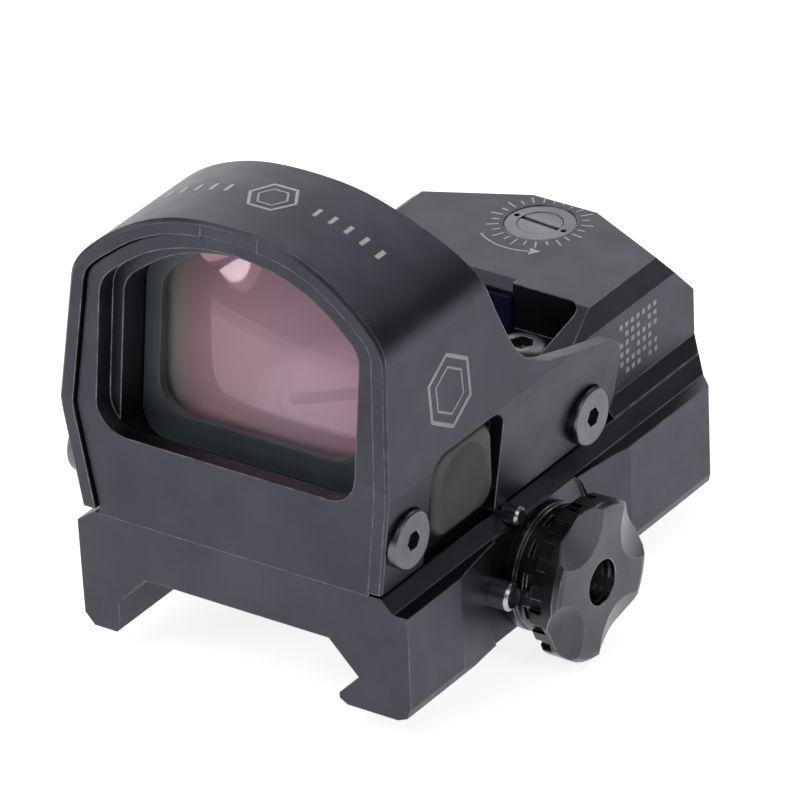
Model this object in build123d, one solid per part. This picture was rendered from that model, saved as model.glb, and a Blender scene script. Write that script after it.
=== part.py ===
from build123d import *
import math
import os

os.makedirs("parts", exist_ok=True)

# Mini reflex sight with a protective hood on a low rail clamp mount.
# X across (knob side +X), Y along the rail (objective side -Y), Z up.
# Origin: middle of the seat that rests on top of the rail.

# ---------------------------------------------------------------- driving sizes
# rail clamp mount
MOUNT_FRONT = -20.5
MOUNT_REAR = 24.5
MOUNT_BOTTOM = -5.24
MOUNT_TOP = 4.62
MOUNT_RIGHT = 15.3
MOUNT_LEFT = -14.18
LEDGE_Z = 3.59
TOP_RIGHT = 13.0
TOP_LEFT = -12.6
REAR_CORNER = 4.2
SEAT_HALF = 8.2
CHANNEL_HALF = 10.75
NOTCH_Z = -2.6
HOOK_X = 8.96
HOOK_Z = -4.39

# clamp hardware
BOLT_Y = -2.05
BOLT_Z = -1.0
BOLT_R = 1.75
SHAFT_FIT = 0.05
GUIDE_DY = 6.2
GUIDE_Z = 1.9
GUIDE_R = 1.0
JAW_HALF_Y = 10.2
JAW_TOP = 3.2
KNOB_SEAT_X = 14.2
KNOB_COLLAR_R = 5.0
KNOB_DISC_R = 6.25
KNOB_DISC_X = 17.4
KNOB_FACE_X = 20.1
KNOB_BORE_R = 1.78
KNOB_LOBES = 4
SCALLOP_R = 7.6
LOW_DOWEL = (-8.3, -0.3)
HIGH_DOWEL = (-4.75, 4.4)
RAIL_PITCH = 10.01
KEY_Y = (BOLT_Y - RAIL_PITCH, BOLT_Y + 2 * RAIL_PITCH)

# hood
SHEET = 1.2
HOOD_BOTTOM = 5.2
APEX_X = 14.6
APEX_Z = 14.2
FRONT_APEX_Y = -21.4
LEAN = math.degrees(math.atan(2.1 / 16.9))
CUT_FRONT = -15.5
CUT_REAR = -6.0
HOOD_SCREWS = ((-18.5, 9.1), (5.7, 7.7))
HOOD_HEAD_R = 2.3
HOOD_HEAD_H = 0.85

# sight body
WALL_X = 12.0
POD_TOP = 13.2
POD_FLAT = 10.6
FACET_DROP = 1.15
POD_FRONT = 11.75
BODY_REAR = 24.5
RECESS_HALF = 10.0
RECESS_FLOOR = 9.4
HOUSING_REAR = -11.0
HOUSING_GAP = 0.16
HOUSING_SET = 0.35

# lens
GLASS_SET = 5.6
GLASS_T = 2.2

# adjusters and electrics
DIAL_Y = 21.0
DIAL_R = 2.75
DIAL_SCREW_R = 1.75
WINDAGE_Y = 17.5
WINDAGE_Z = 9.0
MOUNT_SCREW_X = 6.8
MOUNT_SCREW_Y = 7.9
CAP_Y = -1.7
CAP_R = 8.9
CAP_PLUG_R = 8.45
CAP_BOTTOM = 8.5
CAP_SEAT = 8.95
CAP_TOP = 9.6
COIN_SLOT_ANGLE = 42
POCKET_FLOOR = 5.05
CELL_R = 8.0
CELL_T = 3.2
BUTTON_Y = -11.0
BUTTON_Z = 10.3


def save(shape, name):
    export_step(shape, "parts/" + name + ".step")


def box(x0, x1, y0, y1, z0, z1):
    return Pos((x0 + x1) / 2, (y0 + y1) / 2, (z0 + z1) / 2) * Box(x1 - x0, y1 - y0, z1 - z0)


def rod_x(x0, x1, y, z, r):
    return Pos((x0 + x1) / 2, y, z) * Rot(0, 90, 0) * Cylinder(r, abs(x1 - x0))


def rod_z(z0, z1, x, y, r):
    return Pos(x, y, (z0 + z1) / 2) * Cylinder(r, z1 - z0)


def xz_prism(points, y0, y1):
    face = make_face(Polyline(*[(x, y0, z) for x, z in points], close=True))
    return extrude(face, amount=y1 - y0, dir=(0, 1, 0))


def yz_prism(points, x0, x1):
    face = make_face(Polyline(*[(x0, y, z) for y, z in points], close=True))
    return extrude(face, amount=x1 - x0, dir=(1, 0, 0))


def xy_prism(points, z0, z1):
    face = make_face(Polyline(*[(x, y, z0) for x, y in points], close=True))
    return extrude(face, amount=z1 - z0, dir=(0, 0, 1))


def mirror_x(shape):
    return mirror(shape, about=Plane.YZ)


def try_fillet(shape, edges, radius):
    try:
        return fillet(edges, radius)
    except Exception:
        return shape


def try_chamfer(shape, edges, length):
    try:
        return chamfer(edges, length)
    except Exception:
        return shape


def edges_along(shape, axis, where):
    return [e for e in shape.edges().filter_by(axis) if where(e.center())]


# ---------------------------------------------------------------- mount base
def mount_base():
    section = [
        (TOP_LEFT, MOUNT_TOP), (TOP_RIGHT, MOUNT_TOP), (TOP_RIGHT + 1.03, LEDGE_Z),
        (MOUNT_RIGHT, LEDGE_Z), (MOUNT_RIGHT, MOUNT_BOTTOM + 1.2),
        (MOUNT_RIGHT - 0.35, MOUNT_BOTTOM + 0.35), (MOUNT_RIGHT - 1.2, MOUNT_BOTTOM),
        (HOOK_X + 0.7, MOUNT_BOTTOM), (HOOK_X, MOUNT_BOTTOM + 0.4), (HOOK_X, HOOK_Z),
        (CHANNEL_HALF, NOTCH_Z), (SEAT_HALF, 0), (-SEAT_HALF, 0), (-CHANNEL_HALF, NOTCH_Z),
        (-CHANNEL_HALF, MOUNT_BOTTOM + 0.3), (-CHANNEL_HALF - 0.3, MOUNT_BOTTOM),
        (MOUNT_LEFT + 1.1, MOUNT_BOTTOM), (MOUNT_LEFT + 0.25, MOUNT_BOTTOM + 0.9),
        (MOUNT_LEFT, 3.5),
    ]
    body = xz_prism(section, MOUNT_FRONT, MOUNT_REAR)
    for side in (1, -1):
        edge_x = MOUNT_RIGHT if side > 0 else -MOUNT_LEFT
        body -= xy_prism(
            [(side * (edge_x - REAR_CORNER), MOUNT_REAR + 0.1), (side * (edge_x + 0.1), MOUNT_REAR + 0.1),
             (side * (edge_x + 0.1), MOUNT_REAR - REAR_CORNER)], -9, 9)
    # finger scoop around the knob
    scoop_r = 60.0
    body -= Pos(KNOB_SEAT_X + scoop_r, BOLT_Y, 0) * Cylinder(scoop_r, 30)
    body -= rod_x(KNOB_SEAT_X, 16, BOLT_Y, BOLT_Z, 7.2)
    # pocket of the sliding jaw in the left wall
    body -= box(MOUNT_LEFT - 1, -CHANNEL_HALF + 1.0, BOLT_Y - JAW_HALF_Y - 0.06,
                BOLT_Y + JAW_HALF_Y + 0.06, MOUNT_BOTTOM - 1, 0.06)
    body -= box(MOUNT_LEFT - 1, -CHANNEL_HALF + 1.0, BOLT_Y - JAW_HALF_Y - 0.06,
                BOLT_Y + JAW_HALF_Y + 0.06, 0, JAW_TOP + 0.06)
    # cross bolt bore and its relief in the seat
    body -= rod_x(-13, 16, BOLT_Y, BOLT_Z, BOLT_R + SHAFT_FIT)
    body -= box(-CHANNEL_HALF, CHANNEL_HALF, BOLT_Y - 1.83, BOLT_Y + 1.83, -1.0, 0.25)
    for s in (1, -1):
        y = BOLT_Y + s * GUIDE_DY
        body -= rod_x(-12, 2.0, y, GUIDE_Z, GUIDE_R + SHAFT_FIT)
        body -= rod_x(-12, -5.2, y, GUIDE_Z, 1.55)
        body -= rod_z(0.2, 6, s * MOUNT_SCREW_X, MOUNT_SCREW_Y, 1.5)
    # dowels beside the knob
    body -= rod_x(11.2, 17, LOW_DOWEL[0], LOW_DOWEL[1], 1.12)
    body -= rod_x(10.8, 17, HIGH_DOWEL[0], HIGH_DOWEL[1], 0.78)
    # gasket groove in the top face
    ring = box(-10.6, 10.6, -18.2, 21.4, MOUNT_TOP - 0.5, MOUNT_TOP + 1)
    ring -= box(-9.6, 9.6, -17.2, 20.4, MOUNT_TOP - 1, MOUNT_TOP + 2)
    body -= ring
    # sockets for the recoil keys, on the rail's slot spacing from the bolt
    for y in KEY_Y:
        body -= box(-5.5, 5.5, y - 2.45, y + 2.45, -0.1, 0.9)
    front = [e for e in body.edges() if abs(e.center().Y - MOUNT_FRONT) < 1e-4
             and e.center().Z < MOUNT_TOP - 0.01 and e.length > 0.5]
    body = try_chamfer(body, front, 0.2)
    return body


def recoil_keys():
    keys = []
    for y in KEY_Y:
        key = box(-5.4, 5.4, y - 2.35, y + 2.35, -1.6, 0.88)
        key = fillet(key.edges().filter_by(Axis.Z), 0.8)
        key = try_chamfer(key, key.faces().sort_by(Axis.Z)[0].edges(), 0.3)
        keys.append(key)
    return Compound(children=keys)


# ---------------------------------------------------------------- clamp
def clamp_jaw():
    y0 = BOLT_Y - JAW_HALF_Y
    y1 = BOLT_Y + JAW_HALF_Y
    section = [
        (MOUNT_LEFT + 0.05, 2.9), (-10.0, JAW_TOP), (-9.8, 0.3), (-10.8, 0.0),
        (-10.8, NOTCH_Z), (-HOOK_X, HOOK_Z), (-HOOK_X, MOUNT_BOTTOM + 0.5),
        (-HOOK_X - 0.5, MOUNT_BOTTOM), (MOUNT_LEFT + 1.0, MOUNT_BOTTOM),
        (MOUNT_LEFT + 0.2, MOUNT_BOTTOM + 0.9),
    ]
    jaw = xz_prism(section, y0, y1)
    outer = edges_along(jaw, Axis.Z, lambda c: c.X < -12)
    jaw = try_fillet(jaw, outer, 0.6)
    jaw -= rod_x(-16, -8, BOLT_Y, BOLT_Z, BOLT_R + 0.03)
    jaw -= rod_x(-16, MOUNT_LEFT + 2.3, BOLT_Y, BOLT_Z, 3.35)
    for s in (1, -1):
        jaw -= rod_x(-13.2, -8, BOLT_Y + s * GUIDE_DY, GUIDE_Z, GUIDE_R + 0.03)
    # grip grooves on the outer face
    for i in range(-4, 5):
        if abs(i) > 1:
            y = BOLT_Y + i * 2.0
            jaw -= Pos(MOUNT_LEFT - 0.05, y, -1.2) * Rot(0, 0, 45) * Box(0.55, 0.55, 4.4)
    return jaw


def guide_pins():
    pins = []
    for s in (1, -1):
        pin = rod_x(-13.1, 1.4, BOLT_Y + s * GUIDE_DY, GUIDE_Z, GUIDE_R)
        pin = chamfer(pin.edges().filter_by(GeomType.CIRCLE), 0.2)
        pins.append(pin)
    return Compound(children=pins)


def jaw_springs():
    coils = []
    for s in (1, -1):
        path = Helix(pitch=0.75, height=4.2, radius=1.28)
        wire_face = Plane(path @ 0, z_dir=path % 0) * Circle(0.16)
        coil = sweep(wire_face, path)
        coils.append(Pos(-5.45, BOLT_Y + s * GUIDE_DY, GUIDE_Z) * Rot(0, -90, 0) * coil)
    return Compound(children=coils)


def cross_bolt():
    x_head = MOUNT_LEFT + 0.15
    bolt = rod_x(x_head, x_head + 2.1, BOLT_Y, BOLT_Z, 3.25)
    bolt = fillet(bolt.edges().filter_by(GeomType.CIRCLE).sort_by(Axis.X)[0], 0.35)
    bolt += rod_x(x_head + 2.1, KNOB_SEAT_X - 0.3, BOLT_Y, BOLT_Z, BOLT_R)
    bolt += rod_x(KNOB_SEAT_X - 0.31, 17.6, BOLT_Y, BOLT_Z, KNOB_BORE_R - 0.06)
    tip = bolt.edges().filter_by(GeomType.CIRCLE).sort_by(Axis.X)[-1]
    bolt = chamfer(tip, 0.3)
    socket = Plane((x_head - 0.1, BOLT_Y, BOLT_Z), z_dir=(1, 0, 0)) * RegularPolygon(1.5, 6)
    bolt -= extrude(socket, amount=1.5)
    return bolt


def clamp_knob():
    profile = [
        (KNOB_SEAT_X + 0.35, KNOB_BORE_R), (KNOB_SEAT_X + 0.35, KNOB_COLLAR_R - 0.2),
        (KNOB_SEAT_X + 0.55, KNOB_COLLAR_R), (KNOB_SEAT_X + 1.15, KNOB_COLLAR_R),
        (KNOB_SEAT_X + 1.3, KNOB_COLLAR_R - 0.25), (KNOB_SEAT_X + 1.55, KNOB_COLLAR_R - 0.25),
        (KNOB_SEAT_X + 1.7, KNOB_COLLAR_R), (KNOB_DISC_X, KNOB_COLLAR_R),
        (KNOB_DISC_X, KNOB_DISC_R - 0.35), (KNOB_DISC_X + 0.35, KNOB_DISC_R),
        (KNOB_FACE_X - 0.45, KNOB_DISC_R), (KNOB_FACE_X - 0.1, KNOB_DISC_R - 0.3),
        (KNOB_FACE_X, KNOB_DISC_R - 0.75), (KNOB_FACE_X, KNOB_BORE_R + 0.03),
    ]
    # thread crests inside the open end of the bore
    x = KNOB_FACE_X - 0.2
    profile.append((x, KNOB_BORE_R))
    for _ in range(3):
        profile.append((x - 0.25, KNOB_BORE_R + 0.11))
        profile.append((x - 0.5, KNOB_BORE_R))
        x -= 0.6
        profile.append((x, KNOB_BORE_R))
    face = make_face(Polyline(*[(px, BOLT_Y + pr, BOLT_Z) for px, pr in profile], close=True))
    knob = revolve(face, Axis((0, BOLT_Y, BOLT_Z), (1, 0, 0)))
    # rectangular notches round the collar
    for i in range(12):
        a = i * 30 + 15
        notch = Pos(KNOB_DISC_X - 0.55, 0, KNOB_COLLAR_R) * Box(1.12, 1.25, 0.9)
        knob -= Pos(0, BOLT_Y, BOLT_Z) * Rot(a, 0, 0) * notch
    # finer grip notches in the rear edge of the disc
    for i in range(18):
        notch = Pos(KNOB_DISC_X + 0.6, 0, KNOB_DISC_R) * Box(1.4, 1.15, 1.2)
        knob -= Pos(0, BOLT_Y, BOLT_Z) * Rot(i * 20 + 6, 0, 0) * notch
    # four sloping thumb scallops on the outer face
    for i in range(KNOB_LOBES):
        a = 25 + i * 360 / KNOB_LOBES
        # local frame: X radial, Z outwards from the face
        cutter = Pos(0, 0, SCALLOP_R) * Rot(0, 90, 0) * Cylinder(SCALLOP_R, 24)
        cutter = Rot(0, 0, a) * Pos(3.2, 0, 0) * Rot(0, 21, 0) * cutter
        place = Plane((KNOB_FACE_X, BOLT_Y, BOLT_Z), x_dir=(0, 1, 0), z_dir=(1, 0, 0))
        knob -= place * cutter
        flute = Rot(0, 0, a) * Pos(KNOB_DISC_R + 6.7, 0, 0) * Cylinder(7.0, 20)
        knob -= place * flute
    return knob


def knob_washer():
    ring = rod_x(KNOB_SEAT_X + 0.03, KNOB_SEAT_X + 0.33, BOLT_Y, BOLT_Z, 4.5)
    return ring - rod_x(10, 18, BOLT_Y, BOLT_Z, 2.05)


def dowel_pins():
    low = rod_x(11.25, 16.4, LOW_DOWEL[0], LOW_DOWEL[1], 1.09)
    low = chamfer(low.edges().filter_by(GeomType.CIRCLE), 0.22)
    high = rod_x(10.85, 14.9, HIGH_DOWEL[0], HIGH_DOWEL[1], 0.75)
    high = chamfer(high.edges().filter_by(GeomType.CIRCLE), 0.2)
    return Compound(children=[low, high])


def base_gasket():
    ring = box(-10.5, 10.5, -18.1, 21.3, MOUNT_TOP - 0.48, MOUNT_TOP)
    ring -= box(-9.7, 9.7, -17.3, 20.5, MOUNT_TOP - 1, MOUNT_TOP + 2)
    return ring


# ---------------------------------------------------------------- hood and housing outline
def outline(inset, bottom):
    # closed face of the hood section moved inwards, in the plane y = 0
    a = inset
    right = [
        (13.35 - a, HOOD_BOTTOM), (APEX_X - 0.12 - a, APEX_Z - 1.0), (APEX_X - 0.05 - a, APEX_Z),
        (APEX_X - 0.12 - a, APEX_Z + 1.0), (13.9 - a, 23.6),
    ]
    crown = [
        (13.9 - a, 23.6), (13.85 - a, 24.2 - 0.05 * a), (13.62 - a, 24.95 - 0.15 * a),
        (13.0 - 0.93 * a, 25.9 - 0.4 * a), (11.4 - 0.72 * a, 27.4 - 0.72 * a),
        (9.5 - 0.6 * a, 28.75 - 0.8 * a), (7.3 - 0.42 * a, 29.88 - 0.9 * a),
        (4.8 - 0.25 * a, 30.68 - 0.96 * a), (2.4 - 0.12 * a, 31.02 - 0.99 * a), (0, 31.1 - a),
    ]
    crown += [(-x, z) for x, z in reversed(crown[:-1])]
    top = Spline(*[(x, 0, z) for x, z in crown])
    run = [(x, z) for x, z in reversed(right)]
    if bottom < HOOD_BOTTOM - 0.01:
        run.append((13.35 - a, bottom))
    run += [(-x, z) for x, z in reversed(run)]
    sides = Polyline(*[(x, 0, z) for x, z in run])
    return make_face(top + sides)


def front_trim(offset):
    # everything in front of the front face, which leans back above the apex
    y_low = FRONT_APEX_Y + offset
    y_bot = MOUNT_FRONT - 0.45 + offset
    top_z = 40.0
    y_top = y_low + (top_z - APEX_Z) * math.tan(math.radians(LEAN))
    return yz_prism([(-60, 0), (y_bot, 0), (y_bot, 5.0), (y_low, APEX_Z), (y_top, top_z), (-60, top_z)],
                    -30, 30)


def break_front(solid, size):
    # small bevel round the front rim of a trimmed section
    front = [f for f in solid.faces() if f.normal_at(f.center()).Y < -0.95]
    rim = []
    for f in front:
        for e in f.edges():
            c = e.center()
            on_floor = c.Z < HOOD_BOTTOM + 0.05 and abs(c.X) < 1
            crease = abs(c.Z - APEX_Z) < 0.05 and abs(c.X) < 1
            if not on_floor and not crease:
                rim.append(e)
    return try_chamfer(solid, rim, size)


def hood_rear_cut(shift=0.0):
    # everything behind the swept rear edge of the hood and its ears
    pts = [(-8.9, 45), (-8.9, 31.2), (-8.5, 29.0), (-7.9, 27.4), (-7.2, 25.2), (-6.2, 22.6), (-5.0, 19.9),
           (-4.1, 18.2), (-3.0, 16.9), (-1.6, 15.9), (0.2, 15.1), (8.9, 12.7), (9.9, 11.9), (10.1, 10.8),
           (9.85, 7.2), (9.0, 5.7), (7.6, 5.2), (7.6, 0)]
    line = Spline(*[(0, y, z) for y, z in pts[1:11]])
    rest = Polyline(*[(0, y, z) for y, z in pts[10:]], (0, 60, 0), (0, 60, 45), (0, pts[0][0], 45),
                    (0, pts[1][0], pts[1][1]))
    face = make_face(line + rest)
    return Pos(0, shift, 0) * extrude(face, amount=40, dir=(1, 0, 0), both=True)


def button_window(grow=0.0):
    y0 = CUT_FRONT - grow
    y1 = CUT_REAR + grow
    zt = APEX_Z - 0.1 + grow
    win = box(-20, 20, y0, y1, 0, zt)
    corners = [e for e in win.edges().filter_by(Axis.X) if e.center().Z > 10]
    return fillet(corners, 1.7)


def hood():
    outer = extrude(outline(0, HOOD_BOTTOM), amount=40, dir=(0, 1, 0), both=True)
    inner = extrude(outline(SHEET, 0), amount=41, dir=(0, 1, 0), both=True)
    outer -= front_trim(0)
    outer = break_front(outer, 0.2)
    shell = outer - inner
    shell -= hood_rear_cut()
    shell -= button_window()
    # shallow set-back in the middle of the front edge
    shell -= box(-2.5, 2.5, -25, -19.32, 28.5, 35)
    for y, z in HOOD_SCREWS:
        x_face = hood_side_x(z)
        shell -= rod_x(-20, 20, y, z, 1.3)
        for s in (1, -1):
            shell -= rod_x(s * (x_face - 0.16), s * 20, y, z, HOOD_HEAD_R + 0.1)
    return shell


def hood_side_x(z):
    # outer face of the hood below the apex
    return 13.35 + (APEX_X - 0.05 - 13.35) * (z - HOOD_BOTTOM) / (APEX_Z - HOOD_BOTTOM)


def hood_screws():
    group = []
    for side in (1, -1):
        for y, z in HOOD_SCREWS:
            x_face = hood_side_x(z)
            top = x_face + HOOD_HEAD_H
            screw = rod_x(x_face - 0.12, top, y, z, HOOD_HEAD_R)
            outer = screw.edges().filter_by(GeomType.CIRCLE).sort_by(Axis.X)[-1]
            screw = fillet(outer, 0.28)
            screw += rod_x(9.2, x_face + 0.2, y, z, 1.2)
            hexa = Plane((top + 0.05, y, z), x_dir=(0, 1, 0), z_dir=(-1, 0, 0)) * RegularPolygon(0.82, 6)
            screw -= extrude(hexa, amount=0.85)
            group.append(screw if side > 0 else mirror_x(screw))
    return Compound(children=group)


# ---------------------------------------------------------------- sight body
def lean_plane(depth):
    n = math.radians(LEAN)
    return Plane((0, FRONT_APEX_Y + depth, APEX_Z), x_dir=(1, 0, 0), z_dir=(0, math.cos(n), -math.sin(n)))


def window(half, foot, shoulder, top, depth0, depth1, corner):
    # opening that follows the leaning front; foot and top are heights above the rail seat
    k = 1 / math.cos(math.radians(LEAN))
    b = (foot - APEX_Z) * k
    s = (shoulder - APEX_Z) * k
    t = (top - APEX_Z) * k
    # the plane's own y axis points down, so heights go in negated
    rise = ((1, 0), (0.956, 0.254), (0.847, 0.445), (0.672, 0.68), (0.437, 0.873), (0.21, 0.972), (0, 1))
    crown = [(half * fx, s + (t - s) * fz) for fx, fz in rise]
    full = crown + [(-x, z) for x, z in reversed(crown[:-1])]
    c = corner
    q = c * 0.29
    low = [(-half, s), (-half, b + c), (-half + q, b + q), (-half + c, b), (half - c, b),
           (half - q, b + q), (half, b + c), (half, s)]
    top_line = Spline(*[(x, -z) for x, z in full])
    low_line = (Line((-half, -s), (-half, -b - c))
                + ThreePointArc((-half, -b - c), (-half + q, -b - q), (-half + c, -b))
                + Line((-half + c, -b), (half - c, -b))
                + ThreePointArc((half - c, -b), (half - q, -b - q), (half, -b - c))
                + Line((half, -b - c), (half, -s)))
    face = lean_plane(depth0) * make_face(top_line + low_line)
    return extrude(face, amount=depth1 - depth0, dir=(0, 1, 0))


def pod_profile(y0, y1, foot):
    w = WALL_X
    low = [(w, 5.65), (w + 0.98, MOUNT_TOP)] if foot else [(w, MOUNT_TOP)]
    half = [(POD_FLAT, POD_TOP), (w, POD_TOP - FACET_DROP)] + low
    pts = half + [(-x, z) for x, z in reversed(half)]
    return xz_prism(pts, y0, y1)


def sight_body():
    # housing round the lens
    housing = extrude(outline(SHEET + HOUSING_GAP, MOUNT_TOP), amount=40, dir=(0, 1, 0), both=True)
    housing -= front_trim(HOUSING_SET)
    housing = break_front(housing, 0.18)
    housing -= box(-30, 30, HOUSING_REAR, 60, 14.7, 50)
    housing -= box(-30, 30, -5.8, 60, 0, 50)
    # base, side walls and pod
    body = housing + pod_profile(-8.0, 11.0, False) + pod_profile(10.9, BODY_REAR, True)
    # side walls fall away towards the lens
    body -= yz_prism([(-5.8, 20), (-5.8, 11.3), (3.4, 11.3), (11.4, POD_TOP), (11.4, 20)], -30, 30)
    for s in (1, -1):
        slope = xz_prism([(s * 10.8, 11.3), (s * 14, 9.0), (s * 14, 20), (s * 10.8, 20)], -5.8, 4.5)
        body -= slope
    # sloping rear corners of the pod
    for s in (1, -1):
        n = Vector(s * 0.33, 0.67, 0.665)
        cut = Plane((s * 10.6, 20.7, POD_TOP), z_dir=n) * Pos(0, 0, 10) * Box(60, 60, 20)
        body -= cut
        x_out = MOUNT_RIGHT - REAR_CORNER
        body -= xy_prism([(s * x_out, BODY_REAR + 0.1), (s * 20, BODY_REAR + 0.1),
                          (s * 20, BODY_REAR + x_out - 20)], 0, 20)
    # recess between lens and pod
    recess = box(-RECESS_HALF, RECESS_HALF, HOUSING_REAR - 0.5, POD_FRONT, RECESS_FLOOR, 30)
    rc = [e for e in recess.edges().filter_by(Axis.Z) if e.center().Y > 0]
    recess = fillet(rc, 1.6)
    body -= recess
    # bevelled brow over the emitter window
    body -= yz_prism([(POD_FRONT - 0.2, 12.2), (POD_FRONT + 0.65, POD_TOP + 0.01), (POD_FRONT - 0.2, 14)],
                     -3.55, 3.55)
    # window and its steps
    body -= window(11.45, 12.05, 23.0, 28.9, -3.0, 2.1, 2.6)
    body -= window(10.45, 10.2, 22.6, 27.8, 2.0, 7.95, 2.4)
    body -= window(10.45, 12.0, 22.6, 27.8, 6.5, 12.0, 2.4)
    # button pockets
    for s in (1, -1):
        body -= button_pocket(s)
        body -= rod_x(s * 10.4, s * 12, BUTTON_Y, BUTTON_Z, 0.7)
        for y, z in HOOD_SCREWS:
            body -= rod_x(s * 8.0, s * 20, y, z, 1.25)
        body -= rod_z(0, RECESS_FLOOR + 0.5, s * MOUNT_SCREW_X, MOUNT_SCREW_Y, 1.5)
    # battery well under the recess floor
    body -= cap_well()
    body -= box(-1.5, 1.5, -12.2, CAP_Y - 7.0, POCKET_FLOOR, 5.8)
    # emitter chamber, window seat and adjuster bores
    body -= box(-9.2, 5.4, 12.9, 18.3, 9.4, 12.35)
    body -= box(-3.1, 3.1, 10.0, 13.0, 9.7, 12.0)
    body -= box(-3.55, 3.55, 10.0, POD_FRONT + 0.45, 9.45, 12.2)
    body -= box(-1.5, 1.5, 18.2, 22.8, 9.6, 10.9)
    body -= rod_z(12.45, 20, 0, DIAL_Y, DIAL_R + 0.05)
    body -= rod_z(10.5, 20, 0, DIAL_Y, 1.05)
    body -= rod_x(-20, -WALL_X + 0.75, WINDAGE_Y, WINDAGE_Z, DIAL_R + 0.05)
    body -= rod_x(-20, -8.7, WINDAGE_Y, WINDAGE_Z, 1.05)
    # board slot in front of the battery well
    body -= box(-8.4, 8.4, -19.2, -11.0, 5.6, 7.3)
    # clearance over the upper dowel
    body -= rod_x(10.4, 20, HIGH_DOWEL[0], HIGH_DOWEL[1], 0.85)
    return body


def button_shape(grow, x0, x1, side):
    h = 3.55 + grow
    w = 4.05 + grow
    shape = Pos((x0 + x1) / 2, BUTTON_Y, BUTTON_Z) * Box(x1 - x0, 2 * w, 2 * h)
    shape = fillet(shape.edges().filter_by(Axis.X), 1.9)
    return shape if side > 0 else mirror_x(shape)


def button_pocket(side):
    return button_shape(0.08, 11.2, 16, side)


def button(side):
    cap = button_shape(0, 11.95, 14.15, 1)
    face = [e for e in cap.edges() if e.center().X > 14.1]
    cap = try_fillet(cap, face, 0.7)
    dish = Pos(14.15 + 8.5, BUTTON_Y, BUTTON_Z) * Sphere(9)
    cap -= dish
    cap += rod_x(11.4, 12.0, BUTTON_Y, BUTTON_Z, 0.6)
    return cap if side > 0 else mirror_x(cap)


def button_boots():
    # sealing membranes behind the caps
    group = []
    for s in (1, -1):
        sheet = button_shape(-0.3, 11.22, 11.38, 1)
        sheet -= rod_x(11, 12, BUTTON_Y, BUTTON_Z, 1.2)
        group.append(sheet if s > 0 else mirror_x(sheet))
    return Compound(children=group)


def cap_well():
    well = rod_z(POCKET_FLOOR, CAP_BOTTOM, 0, CAP_Y, CELL_R + 0.1)
    well += rod_z(CAP_BOTTOM - 0.05, CAP_SEAT, 0, CAP_Y, CAP_PLUG_R + 0.05)
    well += rod_z(CAP_SEAT - 0.02, 12, 0, CAP_Y, CAP_R + 0.06)
    return well


def battery_cap():
    cap = rod_z(CAP_BOTTOM, CAP_SEAT + 0.01, 0, CAP_Y, CAP_PLUG_R)
    cap += rod_z(CAP_SEAT, CAP_TOP, 0, CAP_Y, CAP_R)
    rim = cap.edges().filter_by(GeomType.CIRCLE).sort_by(Axis.Z)[-1]
    cap = chamfer(rim, 0.25)
    # seal groove round the plug
    groove = rod_z(8.6, 8.85, 0, CAP_Y, CAP_R) - rod_z(8, 9, 0, CAP_Y, 8.1)
    cap -= groove
    # raised land with the coin slot
    cap -= rod_z(CAP_TOP - 0.12, 12, 0, CAP_Y, 7.9) - rod_z(8, 13, 0, CAP_Y, 6.9)
    slot = Pos(0, CAP_Y, CAP_TOP) * Rot(0, 0, COIN_SLOT_ANGLE) * Box(12.4, 1.7, 1.1)
    slot = fillet(slot.edges().filter_by(Axis.Z), 0.8)
    cap -= slot
    return cap


def cap_seal():
    return rod_z(8.62, 8.83, 0, CAP_Y, CAP_PLUG_R + 0.01) - rod_z(8, 9, 0, CAP_Y, 8.12)


def battery_cell():
    z0 = POCKET_FLOOR + 0.2
    cell = rod_z(z0 + 0.35, z0 + CELL_T, 0, CAP_Y, CELL_R)
    cell = fillet(cell.edges().filter_by(GeomType.CIRCLE).sort_by(Axis.Z)[-1], 0.3)
    cell += rod_z(z0, z0 + 0.36, 0, CAP_Y, 6.6)
    return cell


def contact_strip():
    strip = box(-1.4, 1.4, -11.6, CAP_Y - 3.0, POCKET_FLOOR + 0.03, POCKET_FLOOR + 0.17)
    return strip


# ---------------------------------------------------------------- optics
def lens():
    blank = window(9.9, 10.6, 22.2, 27.4, GLASS_SET, GLASS_SET + GLASS_T, 2.2)
    n = math.radians(LEAN)
    axis_z = 19.5
    radius = 95.0
    y_mid = FRONT_APEX_Y + GLASS_SET + (axis_z - APEX_Z) * math.tan(n)
    direction = Vector(0, math.cos(n), -math.sin(n))
    centre = Vector(0, y_mid, axis_z) + direction * (radius + 0.02)
    return blank & (Pos(*centre) * Sphere(radius))


def lens_bezel():
    # frame that hides the glass edge
    ring = window(10.37, 10.27, 22.6, 27.7, GLASS_SET - 0.75, GLASS_SET - 0.05, 2.4)
    ring -= window(8.95, 12.6, 22.0, 27.1, GLASS_SET - 1.5, GLASS_SET + 1, 2.7)
    return ring


def lens_seal():
    ring = window(10.39, 10.26, 22.6, 27.74, GLASS_SET + 0.6, GLASS_SET + 1.9, 2.4)
    ring -= window(9.97, 10.54, 22.3, 27.5, GLASS_SET - 1, GLASS_SET + 4, 2.2)
    return ring


def emitter_window():
    plate = box(-3.5, 3.5, POD_FRONT - 0.32, POD_FRONT + 0.4, 9.5, 12.1)
    return try_chamfer(plate, plate.edges().filter_by(Axis.Z), 0.12)


def windage_carriage():
    block = box(-3.9, 3.9, 14.4, 17.6, 9.45, 12.2)
    block -= box(-1.65, 1.65, 14.0, 18.0, 9.75, 12.4)
    arm = box(-8.5, -3.8, 16.6, 17.6, 9.45, 10.4)
    return block + arm


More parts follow.
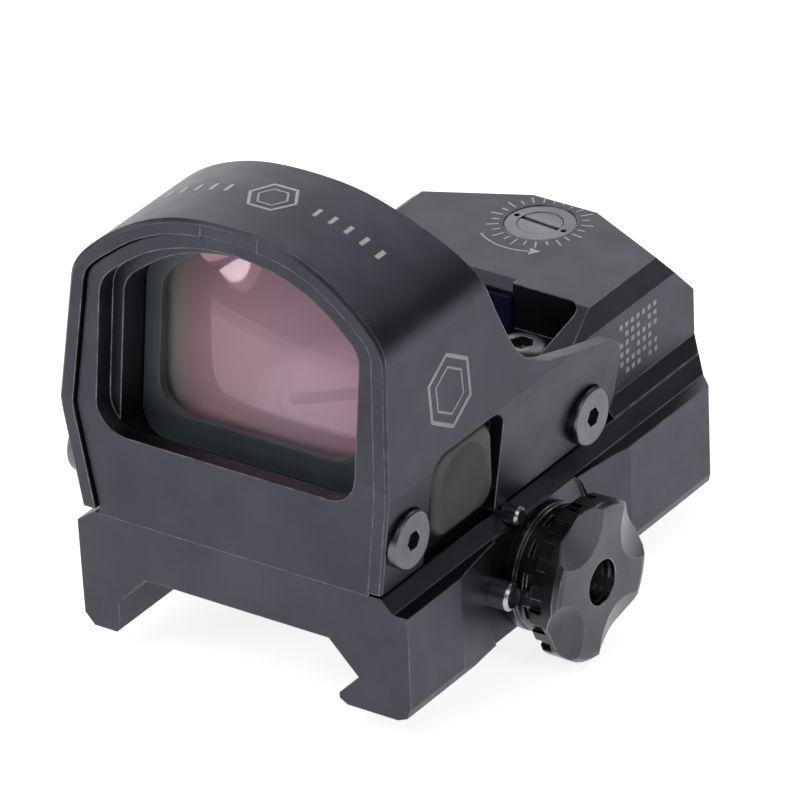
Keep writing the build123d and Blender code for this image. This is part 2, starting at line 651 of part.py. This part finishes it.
def led_holder():
    block = box(-1.55, 1.55, 13.9, 18.0, 9.95, 11.9)
    arm = box(-1.2, 1.2, 17.9, 22.3, 9.95, 10.35)
    lens_cup = Pos(0, 13.75, 10.8) * Rot(90, 0, 0) * Cylinder(0.9, 0.5)
    return block + arm + lens_cup


def led_emitter():
    chip = box(-0.45, 0.45, 13.3, 13.5, 10.35, 11.25)
    dome = Pos(0, 13.2, 10.8) * Sphere(0.26)
    return chip + dome


def carriage_spring():
    leaf = box(4.15, 4.32, 14.6, 17.4, 9.6, 12.1)
    leaf += box(4.3, 5.25, 15.7, 16.3, 10.4, 11.2)
    return leaf


def adjuster(r_hole):
    # local frame: Z outwards, face of the part at z = 0
    head = Pos(0, 0, -0.33) * Cylinder(DIAL_SCREW_R, 0.5)
    head -= Pos(0, 0, -0.08) * Box(2 * DIAL_SCREW_R + 1, 0.42, 0.36)
    return head


def elevation_screw():
    s = Pos(0, DIAL_Y, POD_TOP) * Rot(0, 0, -5) * adjuster(0)
    s += rod_z(10.55, POD_TOP - 0.5, 0, DIAL_Y, 1.0)
    return s


def elevation_ring():
    ring = rod_z(POD_TOP - 0.7, POD_TOP - 0.05, 0, DIAL_Y, DIAL_R)
    ring -= rod_z(0, 20, 0, DIAL_Y, DIAL_SCREW_R + 0.05)
    for a in (175, -5):
        x = 2.25 * math.cos(math.radians(a))
        y = DIAL_Y + 2.25 * math.sin(math.radians(a))
        ring -= rod_z(POD_TOP - 0.45, 20, x, y, 0.24)
    return ring


def windage_screw():
    place = Plane((-WALL_X, WINDAGE_Y, WINDAGE_Z), x_dir=(0, 1, 0), z_dir=(-1, 0, 0))
    s = place * Rot(0, 0, 20) * adjuster(0)
    s += rod_x(-WALL_X + 0.5, -8.9, WINDAGE_Y, WINDAGE_Z, 1.0)
    return s


def windage_ring():
    ring = rod_x(-WALL_X + 0.05, -WALL_X + 0.7, WINDAGE_Y, WINDAGE_Z, DIAL_R)
    ring -= rod_x(-20, 0, WINDAGE_Y, WINDAGE_Z, DIAL_SCREW_R + 0.05)
    for a in (20, 200):
        y = WINDAGE_Y + 2.25 * math.cos(math.radians(a))
        z = WINDAGE_Z + 2.25 * math.sin(math.radians(a))
        ring -= rod_x(-20, -WALL_X + 0.45, y, z, 0.24)
    return ring


# ---------------------------------------------------------------- fasteners and electrics
def mounting_screws():
    group = []
    for s in (1, -1):
        z0 = RECESS_FLOOR + 0.03
        screw = rod_z(z0, z0 + 1.45, s * MOUNT_SCREW_X, MOUNT_SCREW_Y, 2.3)
        top = screw.edges().filter_by(GeomType.CIRCLE).sort_by(Axis.Z)[-1]
        screw = fillet(top, 0.95)
        screw += rod_z(0.6, z0 + 0.1, s * MOUNT_SCREW_X, MOUNT_SCREW_Y, 1.45)
        hexa = Plane((s * MOUNT_SCREW_X, MOUNT_SCREW_Y, z0 + 0.55)) * RegularPolygon(1.0, 6)
        screw -= extrude(hexa, amount=3)
        group.append(screw)
    return Compound(children=group)


def circuit_board():
    board = box(-8.2, 8.2, -19.0, -11.2, 5.85, 6.35)
    chip = box(-2.4, 2.4, -16.4, -12.0, 6.35, 7.15)
    parts = chip + box(4.2, 6.6, -15.0, -13.4, 6.35, 6.9) + box(-6.6, -4.4, -17.0, -15.2, 6.35, 6.9)
    return board + parts


PARTS = {
    "mount_base": mount_base,
    "recoil_keys": recoil_keys,
    "clamp_jaw": clamp_jaw,
    "jaw_guide_pins": guide_pins,
    "jaw_springs": jaw_springs,
    "cross_bolt": cross_bolt,
    "clamp_knob": clamp_knob,
    "knob_washer": knob_washer,
    "dowel_pins": dowel_pins,
    "base_gasket": base_gasket,
    "sight_body": sight_body,
    "shield_hood": hood,
    "hood_screws": hood_screws,
    "mounting_screws": mounting_screws,
    "lens": lens,
    "lens_bezel": lens_bezel,
    "lens_seal": lens_seal,
    "button_boots": button_boots,
    "battery_cap": battery_cap,
    "cap_seal": cap_seal,
    "battery_cell": battery_cell,
    "contact_strip": contact_strip,
    "emitter_window": emitter_window,
    "windage_carriage": windage_carriage,
    "led_holder": led_holder,
    "led_emitter": led_emitter,
    "carriage_spring": carriage_spring,
    "elevation_screw": elevation_screw,
    "elevation_ring": elevation_ring,
    "windage_screw": windage_screw,
    "windage_ring": windage_ring,
    "circuit_board": circuit_board,
}

for name, make in PARTS.items():
    save(make(), name)
save(button(1), "button_right")
save(button(-1), "button_left")
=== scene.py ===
import math

import bpy
from mathutils import Matrix, Vector
from mathutils.bvhtree import BVHTree


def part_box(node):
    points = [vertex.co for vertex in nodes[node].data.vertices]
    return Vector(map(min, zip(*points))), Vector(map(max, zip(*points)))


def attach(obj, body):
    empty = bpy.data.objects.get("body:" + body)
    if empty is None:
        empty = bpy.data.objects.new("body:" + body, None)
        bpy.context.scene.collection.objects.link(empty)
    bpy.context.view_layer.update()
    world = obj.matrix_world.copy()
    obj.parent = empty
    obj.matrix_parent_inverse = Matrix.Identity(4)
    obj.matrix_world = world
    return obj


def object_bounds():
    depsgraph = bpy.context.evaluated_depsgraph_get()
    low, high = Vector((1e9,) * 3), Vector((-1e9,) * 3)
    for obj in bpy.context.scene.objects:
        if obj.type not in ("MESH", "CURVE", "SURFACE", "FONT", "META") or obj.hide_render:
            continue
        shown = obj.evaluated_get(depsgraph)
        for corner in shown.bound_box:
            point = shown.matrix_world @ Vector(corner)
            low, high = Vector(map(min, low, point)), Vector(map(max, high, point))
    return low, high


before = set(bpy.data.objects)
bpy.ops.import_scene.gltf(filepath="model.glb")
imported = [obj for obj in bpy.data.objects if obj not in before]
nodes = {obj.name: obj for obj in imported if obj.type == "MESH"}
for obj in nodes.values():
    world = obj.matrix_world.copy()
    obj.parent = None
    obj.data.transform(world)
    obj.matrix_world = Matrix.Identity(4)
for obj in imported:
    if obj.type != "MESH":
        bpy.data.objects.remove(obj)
cad_lo, cad_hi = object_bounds()
MM = 0.001


def mm(*v):
    return Vector(v) * MM


# ---------------------------------------------------------------- materials
def links_of(mat):
    return mat.node_tree.nodes, mat.node_tree.links


def noise(mat, scale, detail=4.0, stretch=(1, 1, 1), rough=0.55):
    n, k = links_of(mat)
    coord = n.new("ShaderNodeTexCoord")
    place = n.new("ShaderNodeMapping")
    place.inputs["Scale"].default_value = stretch
    tex = n.new("ShaderNodeTexNoise")
    tex.inputs["Scale"].default_value = scale
    tex.inputs["Detail"].default_value = detail
    tex.inputs["Roughness"].default_value = rough
    k.new(coord.outputs["Object"], place.inputs["Vector"])
    k.new(place.outputs["Vector"], tex.inputs["Vector"])
    return tex.outputs["Fac"]


def ramp(mat, fac, stops):
    n, k = links_of(mat)
    r = n.new("ShaderNodeValToRGB")
    while len(r.color_ramp.elements) < len(stops):
        r.color_ramp.elements.new(0.5)
    for e, (p, c) in zip(r.color_ramp.elements, stops):
        e.position = p
        e.color = (*c, 1) if isinstance(c, tuple) else (c, c, c, 1)
    k.new(fac, r.inputs["Fac"])
    return r.outputs["Color"]


def blend_colours(mat, fac, a, b, mode="MIX"):
    n, k = links_of(mat)
    m = n.new("ShaderNodeMix")
    m.data_type = "RGBA"
    m.blend_type = mode
    for socket, value in ((m.inputs[0], fac), (m.inputs[6], a), (m.inputs[7], b)):
        if isinstance(value, bpy.types.NodeSocket):
            k.new(value, socket)
        elif isinstance(value, tuple):
            socket.default_value = (*value, 1)
        else:
            socket.default_value = value
    return m.outputs[2]


def edge_mask(mat, radius, low, high):
    # how far a rounded edge turns the surface, for a lighter colour along edges that is part wear and
    # part painted highlight
    n, k = links_of(mat)
    bevel = n.new("ShaderNodeBevel")
    bevel.samples = 6
    bevel.inputs["Radius"].default_value = radius
    geo = n.new("ShaderNodeNewGeometry")
    dot = n.new("ShaderNodeVectorMath")
    dot.operation = "DOT_PRODUCT"
    k.new(bevel.outputs["Normal"], dot.inputs[0])
    k.new(geo.outputs["True Normal"], dot.inputs[1])
    reach = n.new("ShaderNodeMapRange")
    reach.inputs["From Min"].default_value = high
    reach.inputs["From Max"].default_value = low
    k.new(dot.outputs["Value"], reach.inputs["Value"])
    return reach.outputs["Result"], bevel.outputs["Normal"]


GRAIN_SHARE = 0.16              # how strongly the fine grain darkens the colour
EDGE_LOW, EDGE_HIGH = 0.90, 0.995       # cosine of the edge's turn: full edge colour, no edge colour; the edge colour is wear and painted highlight
MOTTLE = 160                    # scale of the large uneven patches
WEAR_AND_HIGHLIGHT_SCALE = 900                # scale of the breaks in the lighter edge colour, which is wear and painted highlight


def finish(name, tones, rough, grain, depth, metallic=1.0, edge=None, edge_radius=0.12,
           stretch=(1, 1, 1)):
    """A surface with two tones, uneven gloss, fine grain, softened edges and an optional lighter edge
    colour, which is part wear and part painted highlight.

    depth and edge_radius are in mm, grain is the noise scale of the fine bumps.
    """
    mat = bpy.data.materials.new(name)
    mat.use_nodes = True
    n, k = links_of(mat)
    shader = n["Principled BSDF"]
    shader.inputs["Metallic"].default_value = metallic
    colour = ramp(mat, noise(mat, MOTTLE, 5), [(0.36, tones[0]), (0.66, tones[1])])
    fine = noise(mat, grain, 3, stretch)
    speckle = ramp(mat, fine, [(0.35, 0.72), (0.65, 1.0)])
    colour = blend_colours(mat, GRAIN_SHARE, colour, speckle, "MULTIPLY")
    mask, bevel_normal = edge_mask(mat, edge_radius * MM, EDGE_LOW, EDGE_HIGH)
    # painted highlight, partly wear: a lighter colour along every edge, broken up by noise
    if edge:
        wear_and_highlight = n.new("ShaderNodeMath")
        wear_and_highlight.operation = "MULTIPLY"
        k.new(mask, wear_and_highlight.inputs[0])
        k.new(ramp(mat, noise(mat, WEAR_AND_HIGHLIGHT_SCALE, 4), [(0.35, 0.15), (0.62, 0.75)]), wear_and_highlight.inputs[1])
        colour = blend_colours(mat, wear_and_highlight.outputs[0], colour, edge)
    k.new(colour, shader.inputs["Base Color"])
    gloss = n.new("ShaderNodeMapRange")
    gloss.inputs["From Min"].default_value = 0.3
    gloss.inputs["From Max"].default_value = 0.7
    gloss.inputs["To Min"].default_value = rough[0]
    gloss.inputs["To Max"].default_value = rough[1]
    k.new(noise(mat, MOTTLE * 2.5, 6), gloss.inputs["Value"])
    k.new(gloss.outputs["Result"], shader.inputs["Roughness"])
    bump = n.new("ShaderNodeBump")
    bump.inputs["Strength"].default_value = 1.0
    bump.inputs["Distance"].default_value = depth * MM
    k.new(fine, bump.inputs["Height"])
    k.new(bevel_normal, bump.inputs["Normal"])
    k.new(bump.outputs["Normal"], shader.inputs["Normal"])
    return mat


CURVE_CENTRE = (0.001, -0.0155, 0.012)      # where the normal stays as it is, in metres
CURVE = -9.0                                # bump height per distance squared, falling outwards


def lens_glass():
    """Coated glass: half clear, tinted, with its normal bent like a shallow dome's."""
    mat = bpy.data.materials.new("coated_lens")
    mat.use_nodes = True
    n, k = links_of(mat)
    shader = n["Principled BSDF"]
    shader.inputs["Metallic"].default_value = 0.04
    shader.inputs["Transmission Weight"].default_value = 0.50
    shader.inputs["IOR"].default_value = 1.30
    # the coat turns from grey green on the left to rose
    coord = n.new("ShaderNodeTexCoord")
    place = n.new("ShaderNodeMapping")
    place.inputs["Location"].default_value = (0.92, 0, 0)
    place.inputs["Scale"].default_value = (92, 0, 0)
    k.new(coord.outputs["Object"], place.inputs["Vector"])
    across = n.new("ShaderNodeTexGradient")
    k.new(place.outputs["Vector"], across.inputs["Vector"])
    coat = ramp(mat, across.outputs["Fac"], [(0.0, (0.56, 0.68, 0.56)), (0.12, (0.62, 0.58, 0.54)),
                                             (0.36, (0.70, 0.44, 0.50)), (1.0, (0.71, 0.48, 0.58))])
    cloud = ramp(mat, noise(mat, 110, 4), [(0.35, (0.88, 0.72, 0.77)), (0.65, 1.0)])
    coat = blend_colours(mat, 0.3, coat, cloud, "MULTIPLY")
    k.new(coat, shader.inputs["Base Color"])
    k.new(ramp(mat, noise(mat, 260, 3), [(0.4, 0.02), (0.7, 0.06)]), shader.inputs["Roughness"])
    # slight curve, whose slope grows away from CURVE_CENTRE
    shift = n.new("ShaderNodeVectorMath")
    shift.operation = "SUBTRACT"
    shift.inputs[1].default_value = CURVE_CENTRE
    k.new(coord.outputs["Object"], shift.inputs[0])
    square = n.new("ShaderNodeVectorMath")
    square.operation = "DOT_PRODUCT"
    k.new(shift.outputs["Vector"], square.inputs[0])
    k.new(shift.outputs["Vector"], square.inputs[1])
    fall = n.new("ShaderNodeMath")
    fall.operation = "MULTIPLY"
    fall.inputs[1].default_value = CURVE
    k.new(square.outputs["Value"], fall.inputs[0])
    bump = n.new("ShaderNodeBump")
    bump.inputs["Strength"].default_value = 1.0
    bump.inputs["Distance"].default_value = 1.0
    k.new(fall.outputs[0], bump.inputs["Height"])
    k.new(bump.outputs["Normal"], shader.inputs["Normal"])
    return mat


# name, two tones, roughness range, grain scale, bump depth in mm
# edge is the lighter edge colour: part wear, part painted highlight
anodised = finish("anodised_aluminium", ((0.055, 0.056, 0.069), (0.065, 0.066, 0.082)),
                  (0.38, 0.45), 5200, 0.0016, edge=(0.34, 0.34, 0.36), edge_radius=0.17)
anodised_mount = finish("anodised_mount", ((0.061, 0.061, 0.077), (0.073, 0.073, 0.092)),
                        (0.38, 0.46), 4600, 0.0030, edge=(0.26, 0.26, 0.28), edge_radius=0.16)
anodised_knob = finish("anodised_knob", ((0.064, 0.064, 0.073), (0.098, 0.097, 0.108)),
                       (0.24, 0.36), 3200, 0.0022, edge=(0.42, 0.42, 0.44), edge_radius=0.18)
dial_metal = finish("anodised_dial", ((0.125, 0.128, 0.145), (0.175, 0.178, 0.198)),
                    (0.30, 0.42), 5200, 0.0014, edge=(0.36, 0.36, 0.38), edge_radius=0.10)
frame_black = finish("lens_frame_black", ((0.060, 0.070, 0.078), (0.085, 0.098, 0.108)),
                     (0.28, 0.42), 4200, 0.001, metallic=0.0)
steel = finish("ground_steel", ((0.30, 0.31, 0.33), (0.46, 0.47, 0.49)),
               (0.20, 0.36), 3600, 0.0016, edge=(0.75, 0.75, 0.76), edge_radius=0.14,
               stretch=(1, 6, 6))
screw_steel = finish("dark_screw_steel", ((0.125, 0.128, 0.140), (0.175, 0.178, 0.192)),
                     (0.26, 0.38), 4200, 0.0014, edge=(0.55, 0.55, 0.57), edge_radius=0.14)
spring_steel = finish("spring_steel", ((0.42, 0.42, 0.44), (0.56, 0.56, 0.58)),
                      (0.18, 0.30), 3000, 0.001)
cell_steel = finish("cell_steel", ((0.60, 0.60, 0.62), (0.72, 0.72, 0.73)),
                    (0.22, 0.36), 2600, 0.0012)
# painted light: the battery cap is coloured light grey with lighter edges, so that it shows bright
# through the lens in place of the light and haze seen there
cap_painted_light = finish("cap_painted_light", ((0.34, 0.34, 0.36), (0.46, 0.46, 0.48)),
                   (0.34, 0.46), 3600, 0.002, edge=(0.7, 0.7, 0.72), edge_radius=0.16)
brass = finish("machined_brass", ((0.50, 0.36, 0.15), (0.66, 0.50, 0.24)),
               (0.24, 0.38), 3000, 0.0014)
rubber = finish("seal_rubber", ((0.012, 0.012, 0.014), (0.022, 0.022, 0.025)),
                (0.62, 0.78), 2600, 0.004, metallic=0.0)
key_rubber = finish("key_rubber", ((0.020, 0.020, 0.024), (0.032, 0.032, 0.037)),
                    (0.42, 0.56), 3400, 0.003, metallic=0.0, edge=(0.07, 0.07, 0.078),
                    edge_radius=0.3)
board_green = finish("board_laminate", ((0.018, 0.11, 0.05), (0.03, 0.16, 0.08)),
                     (0.35, 0.5), 1800, 0.003, metallic=0.0)
red_plastic = finish("emitter_plastic", ((0.42, 0.02, 0.015), (0.6, 0.04, 0.03)),
                     (0.12, 0.22), 2000, 0.001, metallic=0.0)
filter_pane = finish("filter_pane", ((0.008, 0.010, 0.045), (0.016, 0.020, 0.085)),
                     (0.06, 0.12), 2000, 0.0004, metallic=0.0)
etch = finish("laser_etch", ((0.56, 0.56, 0.58), (0.74, 0.74, 0.76)),
              (0.55, 0.7), 6000, 0.003, metallic=0.0)
etch_dim = finish("laser_etch_dim", ((0.25, 0.25, 0.27), (0.36, 0.36, 0.38)),
                  (0.55, 0.7), 6000, 0.003, metallic=0.0)
coated = lens_glass()

FINISH = {
    "mount_base": anodised_mount, "clamp_jaw": anodised_mount,
    "sight_body": anodised, "shield_hood": anodised,
    "lens_bezel": frame_black, "battery_cap": cap_painted_light, "clamp_knob": anodised_knob,
    "recoil_keys": steel, "jaw_guide_pins": steel, "cross_bolt": steel, "knob_washer": steel,
    "dowel_pins": steel,
    "hood_screws": screw_steel, "mounting_screws": screw_steel, "jaw_springs": spring_steel,
    "carriage_spring": spring_steel, "battery_cell": cell_steel, "contact_strip": brass,
    "windage_carriage": brass, "led_holder": brass, "base_gasket": rubber, "lens_seal": rubber,
    "button_boots": rubber, "cap_seal": rubber, "button_right": key_rubber, "button_left": key_rubber,
    "lens": coated, "emitter_window": filter_pane, "led_emitter": red_plastic,
    "elevation_screw": dial_metal, "elevation_ring": dial_metal, "windage_screw": dial_metal,
    "windage_ring": dial_metal, "circuit_board": board_green,
}
for name, obj in nodes.items():
    obj.data.materials.clear()
    obj.data.materials.append(FINISH[name])


# ---------------------------------------------------------------- etched marks
CAST_FROM = 6 * MM              # rays start this far off the marks' own plane
CAST_REACH = 0.02               # and go this far, in metres
MARK_TOP, MARK_FOOT = 0.014, -0.02      # mm over and under the surface
BOX_SLACK = 1e-7                # metres that marks stay inside the object's box


class Decal:
    """Thin marks on a CAD surface: flat shapes projected onto one node along -n.

    Points are given in mm in the plane of u and v through origin.
    """

    def __init__(self, target, origin, u, v):
        mesh = nodes[target].data
        self.tree = BVHTree.FromPolygons([p.co for p in mesh.vertices],
                                         [p.vertices for p in mesh.polygons])
        self.o, self.u, self.v = origin, u.normalized(), v.normalized()
        self.n = self.u.cross(self.v)
        self.points, self.faces = [], []

    def cast(self, a, b):
        # the start of the ray over (a, b) and its hit on the node, or None
        start = self.o + self.u * a * MM + self.v * b * MM + self.n * CAST_FROM
        return start, self.tree.ray_cast(start, -self.n, CAST_REACH)[0]

    def drop(self, a, b, lift):
        start, hit = self.cast(a, b)
        if hit is None:
            hit = start - self.n * CAST_FROM
        return hit + self.n * lift * MM

    def lands(self, a, b, slack=0.1):
        # true where the surface is within slack mm of the marks' own plane
        start, hit = self.cast(a, b)
        return hit is not None and abs((start - hit).dot(self.n) - CAST_FROM) < slack * MM

    def strip(self, line, width, closed=False):
        # a ribbon of constant width along a line of 2D points
        count = len(line)
        left, right = [], []
        for i, (x, y) in enumerate(line):
            x0, y0 = line[i - 1] if closed or i else line[0]
            x1, y1 = line[(i + 1) % count] if closed or i < count - 1 else line[-1]
            dx, dy = x1 - x0, y1 - y0
            size = math.hypot(dx, dy) or 1.0
            ox, oy = -dy / size * width / 2, dx / size * width / 2
            left.append((x + ox, y + oy))
            right.append((x - ox, y - oy))
        self.skin(left, right, closed)

    def skin(self, left, right, closed=False):
        # a solid band between two rows of 2D points, sunk a little into the surface
        base = len(self.points)
        for (ax, ay), (bx, by) in zip(left, right):
            for x, y, lift in ((ax, ay, MARK_TOP), (bx, by, MARK_TOP),
                               (bx, by, MARK_FOOT), (ax, ay, MARK_FOOT)):
                self.points.append(self.drop(x, y, lift))
        count = len(left)
        for i in range(count if closed else count - 1):
            a, b = base + 4 * i, base + 4 * ((i + 1) % count)
            for j in range(4):
                q = (j + 1) % 4
                self.faces.append((a + j, b + j, b + q, a + q))
        if not closed:
            end = base + 4 * (count - 1)
            self.faces.append((base, base + 1, base + 2, base + 3))
            self.faces.append((end + 3, end + 2, end + 1, end))

    def bar(self, x0, y0, x1, y1, width, steps=5):
        line = [(x0 + (x1 - x0) * i / steps, y0 + (y1 - y0) * i / steps) for i in range(steps + 1)]
        self.strip(line, width)

    def arc(self, cx, cy, r, a0, a1, width, steps=40):
        whole = abs(a1 - a0) > 359.9
        count = steps if whole else steps + 1
        line = []
        for i in range(count):
            a = math.radians(a0 + (a1 - a0) * i / steps)
            line.append((cx + r * math.cos(a), cy + r * math.sin(a)))
        self.strip(line, width, whole)

    def spoke(self, angle, inner, outer, width):
        c, s = math.cos(angle), math.sin(angle)
        self.bar(inner * c, inner * s, outer * c, outer * s, width, 2)

    def hexagon(self, size, width, turn):
        # a closed outline whose corners are size from the middle, each side in 5 steps
        corners = [(size * math.cos(math.radians(60 * i + turn)),
                    size * math.sin(math.radians(60 * i + turn))) for i in range(6)]
        line = []
        for i in range(6):
            (x0, y0), (x1, y1) = corners[i], corners[(i + 1) % 6]
            line += [(x0 + (x1 - x0) * t / 5, y0 + (y1 - y0) * t / 5) for t in range(5)]
        self.strip(line, width, True)

    def square(self, x, y, size):
        self.bar(x - size / 2, y, x + size / 2, y, size, 1)

    def build(self, name, material=None):
        # the marks stay inside the object's own box
        for q in self.points:
            for axis in range(3):
                q[axis] = min(max(q[axis], cad_lo[axis] + BOX_SLACK), cad_hi[axis] - BOX_SLACK)
        mesh = bpy.data.meshes.new(name)
        mesh.from_pydata([tuple(p) for p in self.points], [], self.faces)
        mesh.validate()
        obj = bpy.data.objects.new(name, mesh)
        bpy.context.scene.collection.objects.link(obj)
        mesh.materials.append(material or etch)
        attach(obj, "sight")
        return obj


X, Y, Z = Vector((1, 0, 0)), Vector((0, 1, 0)), Vector((0, 0, 1))

# scale and direction arrow round the top adjuster; a tick is shortened where the top ends
TICKS_TOP, TICK_FROM, TICK_LONG, TICK_SHORT, TICK_MIN = 26, 3.15, 4.15, 3.8, 3.4
TICK_ROOM = 0.15
ARROW_R, ARROW_IN, ARROW_OUT = 4.75, 4.2, 5.3
ring_lo, ring_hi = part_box("elevation_ring")
ring_c = (ring_lo + ring_hi) / 2 / MM
pod = Decal("sight_body", mm(ring_c.x, ring_c.y, ring_hi.z / MM), X, Y)
for i in range(TICKS_TOP):
    a = math.radians(360 / TICKS_TOP * (i + 0.5))
    reach = TICK_LONG if i % 2 else TICK_SHORT
    while reach > TICK_MIN and not pod.lands((reach + TICK_ROOM) * math.cos(a),
                                             (reach + TICK_ROOM) * math.sin(a)):
        reach -= 0.1
    pod.spoke(a, TICK_FROM, reach, 0.16)
pod.arc(0, 0, ARROW_R, -128, -66, 0.17, 20)
tip, back = math.radians(-56), math.radians(-67)
pod.skin([(ARROW_IN * math.cos(back), ARROW_IN * math.sin(back)),
          (ARROW_R * math.cos(tip) * 0.999, ARROW_R * math.sin(tip) * 0.999)],
         [(ARROW_OUT * math.cos(back), ARROW_OUT * math.sin(back)),
          (ARROW_R * math.cos(tip), ARROW_R * math.sin(tip))])
pod.build("dial_marks_top")

# half scale over the side adjuster
TICKS_SIDE, SIDE_TICK = 10, 3.6
side_lo, side_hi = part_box("windage_ring")
side_c = (side_lo + side_hi) / 2 / MM
side = Decal("sight_body", mm(side_lo.x / MM, side_c.y, side_c.z), -Y, Z)
for i in range(TICKS_SIDE):
    side.spoke(math.radians(180 / (TICKS_SIDE - 1) * i), TICK_FROM, SIDE_TICK, 0.13)
side.build("dial_marks_side")

# plain generic marks on the hood: hexagon outlines and short dashes
hood_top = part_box("shield_hood")[1].z
top = Decal("shield_hood", mm(0, -13.6, hood_top / MM), X, Y)
top.hexagon(2.0, 0.26, 0)
top.hexagon(1.25, 0.16, 0)
for i in range(5):
    for s in (1, -1):
        x = s * (3.9 + 1.35 * i)
        top.bar(x, -0.55, x, 0.55, 0.34, 3)
top.build("hood_marks_top")

flank = Decal("shield_hood", mm(14.2, -12.6, 18.6), Y, Z)
flank.hexagon(2.9, 0.34, 30)
flank.hexagon(1.9, 0.2, 30)
flank.build("hood_marks_side", etch_dim)

# plain block of small squares on the right wall of the rear housing
PITCH, CELL = 0.78, 0.46
wall = Decal("sight_body", mm(13.1, 15.9, 8.9), Y, Z)
for i in range(7):
    for j in range(6):
        if (i * 5 + j * 3 + i * j) % 4 and wall.lands(PITCH * (i - 3), PITCH * (j - 2.5), 1.5):
            wall.square(PITCH * (i - 3), PITCH * (j - 2.5), CELL)
wall.build("code_block", etch_dim)

# ---------------------------------------------------------------- stage, light and camera
FLOOR_HALF = 3.0                # metres
FLOOR_GAP = 0.00005             # metres between the floor and the object's lowest point
floor_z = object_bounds()[0].z - FLOOR_GAP
floor_mesh = bpy.data.meshes.new("floor")
floor_mesh.from_pydata([(-FLOOR_HALF, -FLOOR_HALF, floor_z), (FLOOR_HALF, -FLOOR_HALF, floor_z),
                        (FLOOR_HALF, FLOOR_HALF, floor_z), (-FLOOR_HALF, FLOOR_HALF, floor_z)],
                       [], [(0, 1, 2, 3)])
floor = bpy.data.objects.new("floor", floor_mesh)
bpy.context.scene.collection.objects.link(floor)
pale = bpy.data.materials.new("pale_floor")
pale.use_nodes = True
paper = pale.node_tree.nodes["Principled BSDF"]
paper.inputs["Base Color"].default_value = (0.9, 0.9, 0.9, 1)
paper.inputs["Roughness"].default_value = 0.9
paper.inputs["Emission Color"].default_value = (1, 1, 1, 1)
paper.inputs["Emission Strength"].default_value = 0.80
floor_mesh.materials.append(pale)

world = bpy.data.worlds.new("studio")
bpy.context.scene.world = world
world.use_nodes = True
world.node_tree.nodes["Background"].inputs["Color"].default_value = (0.9, 0.95, 1.0, 1)
world.node_tree.nodes["Background"].inputs["Strength"].default_value = 0.12

CENTRE = mm(0, 0, 10)


def aim_light(name, light, target, direction, distance):
    obj = bpy.data.objects.new(name, light)
    d = Vector(direction).normalized()
    obj.location = target + d * distance
    obj.rotation_mode = "QUATERNION"
    obj.rotation_quaternion = (-d).to_track_quat("-Z", "Y")
    bpy.context.scene.collection.objects.link(obj)


def softbox(name, direction, distance, width, height, radiance):
    light = bpy.data.lights.new(name, "AREA")
    light.shape = "RECTANGLE"
    light.size = width
    light.size_y = height
    light.energy = radiance * width * height * math.pi
    aim_light(name, light, CENTRE, direction, distance)


# name, direction from CENTRE, distance, width and height in metres, radiance
softbox("softbox_left_rear", (-0.66, 0.66, 0.34), 0.45, 0.42, 0.28, 1.65)
softbox("softbox_front_top", (-0.25, -0.55, 0.80), 0.45, 0.30, 0.30, 2.2)
softbox("softbox_right_low", (0.82, -0.16, 0.50), 0.50, 0.18, 0.18, 2.6)
softbox("softbox_rear_top", (0.03, 0.70, 0.70), 0.50, 0.38, 0.27, 1.45)

# small round light whose mirror image sits near the top edge of the lens
GLINT_R = 0.050
GLINT_RADIANCE = 11
glint = bpy.data.lights.new("glint", "AREA")
glint.shape = "DISK"
glint.size = 2 * GLINT_R
glint.energy = GLINT_RADIANCE * math.pi * GLINT_R ** 2 * math.pi
aim_light("glint", glint, mm(-4.7, -14.3, 26.3), (-0.755, -0.745, 0.196), 0.5)

# camera solved from the photograph: direction, roll, distance in metres and lens in mm
AZ, EL, ROLL = math.radians(34.90), math.radians(28.90), math.radians(-2.15)
AIM, DISTANCE, LENS = mm(1.052, 0, 8.086), 0.7224, 435.7
back_dir = Vector((math.sin(AZ) * math.cos(EL), -math.cos(AZ) * math.cos(EL), math.sin(EL)))
right0 = (-back_dir).cross(Z).normalized()
up0 = right0.cross(-back_dir)
right = right0 * math.cos(ROLL) + up0 * math.sin(ROLL)
up = up0 * math.cos(ROLL) - right0 * math.sin(ROLL)
cam_data = bpy.data.cameras.new("camera")
cam_data.sensor_width = 36
cam_data.lens = LENS
cam_data.clip_start = 0.01
cam_data.clip_end = 20
cam = bpy.data.objects.new("camera", cam_data)
place = AIM + back_dir * DISTANCE
cam.matrix_world = Matrix(((right.x, up.x, back_dir.x, place.x), (right.y, up.y, back_dir.y, place.y),
                           (right.z, up.z, back_dir.z, place.z), (0, 0, 0, 1)))
bpy.context.scene.collection.objects.link(cam)
bpy.context.scene.camera = cam
bpy.context.scene.view_settings.view_transform = "Standard"
